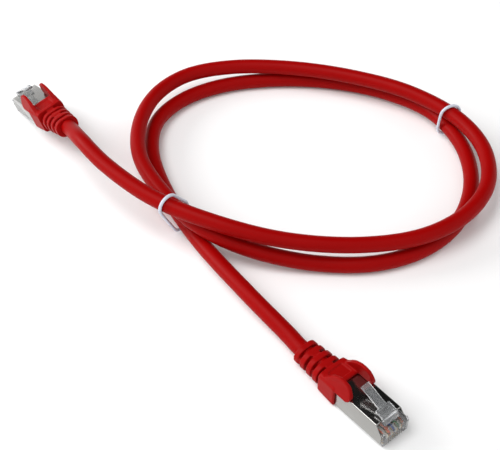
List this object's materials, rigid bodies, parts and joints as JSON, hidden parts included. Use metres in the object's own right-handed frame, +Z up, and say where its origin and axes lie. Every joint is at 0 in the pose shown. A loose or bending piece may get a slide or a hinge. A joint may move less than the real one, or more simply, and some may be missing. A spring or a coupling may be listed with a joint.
{
  "type": "ethernet patch cable",
  "caption": "Shielded network patch cord with a clear modular plug, metal shield and ribbed boot at each end, wound in a loose coil held by wire ties.",
  "frame": {"origin": "on the surface that the cable lies on, below the middle of the whole object's box", "axes": "+Z up from that surface, +X along the object's longest side, from plug B's end towards the coil's free side; plug A points towards -Y"},
  "size_m": [0.2066, 0.1995, 0.0254],
  "materials": {
    "jacket_pvc": "satin extruded PVC, red",
    "boot_pvc": "moulded soft PVC, red",
    "clear_polycarbonate": "clear moulded polycarbonate",
    "nickel": "nickel-plated sheet brass, bright",
    "gold_plate": "gold-plated phosphor bronze",
    "braid": "tinned copper braid over foil",
    "tie_coating": "white PVC coating on soft wire",
    "wire_white": "foamed polyethylene insulation, white",
    "wire_orange": "foamed polyethylene insulation, orange",
    "wire_green": "foamed polyethylene insulation, green",
    "wire_blue": "foamed polyethylene insulation, blue",
    "wire_brown": "foamed polyethylene insulation, brown"
  },
  "bodies": {
    "cable": {"jacket": "jacket_pvc", "screen": "braid", "pair_orange": "wire_orange", "pair_green": "wire_green", "pair_blue": "wire_blue", "pair_brown": "wire_brown", "tie_left": "tie_coating", "tie_right": "tie_coating", "boot_a": "boot_pvc", "shield_a": "nickel", "housing_a": "clear_polycarbonate", "wire_guide_a": "clear_polycarbonate", "contact_a_1": "gold_plate", "contact_a_2": "gold_plate", "contact_a_3": "gold_plate", "contact_a_4": "gold_plate", "contact_a_5": "gold_plate", "contact_a_6": "gold_plate", "contact_a_7": "gold_plate", "contact_a_8": "gold_plate", "wire_a_1": "wire_white", "wire_a_2": "wire_orange", "wire_a_3": "wire_white", "wire_a_4": "wire_blue", "wire_a_5": "wire_white", "wire_a_6": "wire_green", "wire_a_7": "wire_white", "wire_a_8": "wire_brown", "boot_b": "boot_pvc", "shield_b": "nickel", "housing_b": "clear_polycarbonate", "wire_guide_b": "clear_polycarbonate", "contact_b_1": "gold_plate", "contact_b_2": "gold_plate", "contact_b_3": "gold_plate", "contact_b_4": "gold_plate", "contact_b_5": "gold_plate", "contact_b_6": "gold_plate", "contact_b_7": "gold_plate", "contact_b_8": "gold_plate", "wire_b_1": "wire_white", "wire_b_2": "wire_orange", "wire_b_3": "wire_white", "wire_b_4": "wire_blue", "wire_b_5": "wire_white", "wire_b_6": "wire_green", "wire_b_7": "wire_white", "wire_b_8": "wire_brown"},
    "latch_a": {"latch_a": "clear_polycarbonate"},
    "latch_b": {"latch_b": "clear_polycarbonate"}
  },
  "joints": [
    {"name": "latch_a_press", "type": "hinge", "parent": "cable", "child": "latch_a", "pos_m": [0.04968, -0.09355, 0.0084], "axis": [-0.7581, -0.6521, 0], "range_deg": [0, 14], "stiffness_Nm_per_rad": 0.2},
    {"name": "latch_b_press", "type": "hinge", "parent": "cable", "child": "latch_b", "pos_m": [-0.09777, 0.07823, 0.00903], "axis": [0.7625, 0.6134, 0.2057], "range_deg": [0, 14], "stiffness_Nm_per_rad": 0.2}
  ]
}
